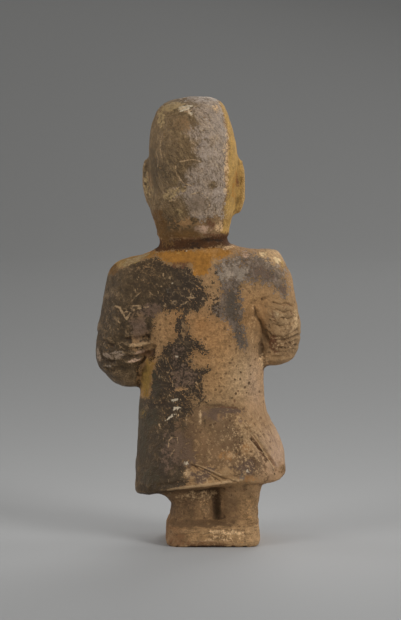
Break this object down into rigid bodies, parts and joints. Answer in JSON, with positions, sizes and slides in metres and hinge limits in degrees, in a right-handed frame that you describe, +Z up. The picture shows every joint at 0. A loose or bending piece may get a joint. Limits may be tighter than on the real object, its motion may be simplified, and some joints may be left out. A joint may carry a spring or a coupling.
{
  "type": "terracotta dwarf figure",
  "caption": "Standing earthenware dwarf attendant in a knee-length robe, arms brought forward, moulded in one piece with a low base and painted in worn ochre and dark grey.",
  "frame": {"origin": "middle of the base's underside, on the surface the figure stands on", "axes": "+Z up; the figure faces -Y, so its own left side is towards +X and its back towards +Y"},
  "size_m": [0.092, 0.0583, 0.1986],
  "materials": {
    "terracotta": "matt unglazed earthenware with worn paint and dirt"
  },
  "bodies": {
    "root": {"dwarf_figure": "terracotta"}
  },
  "joints": []
}
